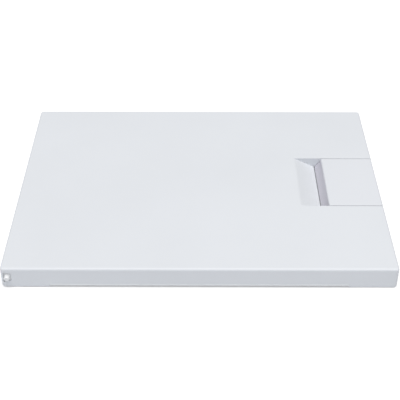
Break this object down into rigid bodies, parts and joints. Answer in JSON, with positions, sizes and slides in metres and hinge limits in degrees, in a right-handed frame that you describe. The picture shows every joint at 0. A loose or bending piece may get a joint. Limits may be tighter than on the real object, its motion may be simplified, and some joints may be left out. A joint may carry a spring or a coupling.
{
  "type": "freezer compartment door",
  "caption": "Insulated flap door for a freezer compartment, with a recessed latch lever, a soft gasket and hinge pins at one side.",
  "frame": {"origin": "under the middle of the front face, in the plane that the gasket seals against; the latch nose, which stands 3.3 mm out of the handle side, is the only thing that puts it 1.5 mm off the middle of the whole envelope", "axes": "+X from the hinge side to the handle side, +Y from the door's lower edge in use to its upper edge, +Z out of the front face"},
  "size_m": [0.5045, 0.3608, 0.0315],
  "materials": {
    "white_shell": "moulded, satin gloss, very fine grain",
    "white_lever": "moulded, satin gloss, very fine grain",
    "liner_white": "moulded, glossy",
    "foam_white": "expanded bead foam, cut",
    "gasket_white": "soft extruded, matt",
    "tray_white": "moulded, matt",
    "acetal_white": "moulded, slightly waxy",
    "acetal_natural": "moulded, slightly waxy",
    "pin_white": "moulded, smooth",
    "cap_grey": "moulded, matt",
    "steel_rod": "drawn wire, bright",
    "steel_clip": "stamped, blued",
    "spring_steel": "drawn wire, zinc plated",
    "zinc_screw": "zinc plated",
    "grey_rubber": "soft, matt"
  },
  "bodies": {
    "door_shell": {"front_panel": "white_shell", "rear_liner": "liner_white", "insulation_core": "foam_white", "door_gasket": "gasket_white", "handle_housing": "tray_white", "lever_pivot_pin": "steel_rod", "pivot_pin_clips": "steel_clip", "lever_spring_lower": "spring_steel", "lever_spring_upper": "spring_steel", "lever_stop_pads": "grey_rubber", "hinge_block_lower": "acetal_white", "hinge_block_upper": "acetal_white", "hinge_pin_fixed": "pin_white", "hinge_pin_spring": "spring_steel", "hinge_cap_lower": "cap_grey", "hinge_cap_upper": "cap_grey", "hinge_block_screws": "zinc_screw", "housing_screws": "zinc_screw", "liner_screws": "zinc_screw"},
    "lever": {"handle_lever": "white_lever", "latch_nose": "acetal_natural"},
    "sprung_pin": {"hinge_pin_sprung": "pin_white"}
  },
  "joints": [
    {"name": "lever_pivot", "type": "hinge", "parent": "door_shell", "child": "lever", "pos_m": [0.2435, 0, 0.0225], "axis": [0, 1, 0], "range_deg": [0, 22], "stiffness_Nm_per_rad": 0.35, "springref_deg": -17.19, "deforming": ["lever_spring_lower", "lever_spring_upper"]},
    {"name": "hinge_pin_slide", "type": "slide", "parent": "door_shell", "child": "sprung_pin", "axis": [0, 1, 0], "range_m": [-0.005, 0], "stiffness_N_per_m": 600, "springref_m": 0.004, "deforming": ["hinge_pin_spring"]}
  ]
}
